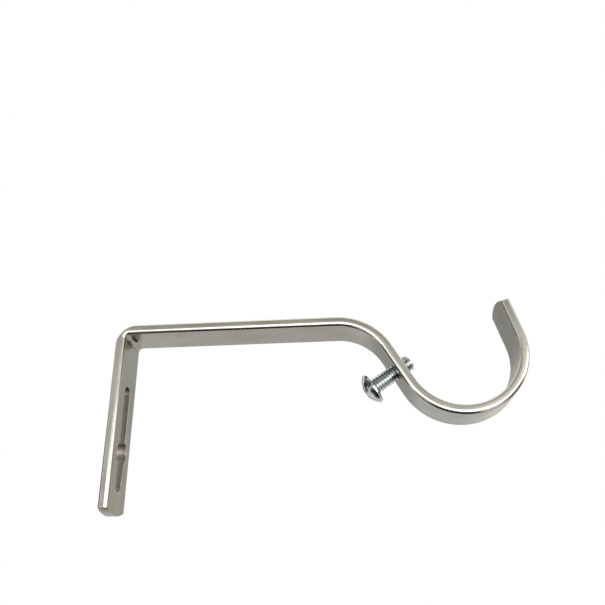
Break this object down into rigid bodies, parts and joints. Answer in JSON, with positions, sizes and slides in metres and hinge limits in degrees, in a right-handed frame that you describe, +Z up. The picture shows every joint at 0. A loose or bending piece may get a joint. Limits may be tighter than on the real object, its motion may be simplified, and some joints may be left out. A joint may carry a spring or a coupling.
{
  "type": "curtain pole bracket",
  "caption": "Flat steel strip bracket with a slotted wall leg, a straight arm and an open hook that cradles a pole, held by a clamp screw.",
  "frame": {"origin": "middle of the wall slot, on the face that lies against the wall", "axes": "+X runs out from the wall along the arm, +Z is up, Y runs across the strip's width"},
  "size_m": [0.1055, 0.0128, 0.0522],
  "materials": {
    "satin_nickel": "satin nickel plate, fine grain along the strip",
    "bright_zinc": "bright zinc plate"
  },
  "bodies": {
    "bracket": {"bracket_strip": "satin_nickel"},
    "screw": {"clamp_screw": "bright_zinc"}
  },
  "joints": [
    {"name": "screw_travel", "type": "slide", "parent": "bracket", "child": "screw", "axis": [0.8251, 0, 0.565], "range_m": [-0.0026, 0.0061]}
  ]
}
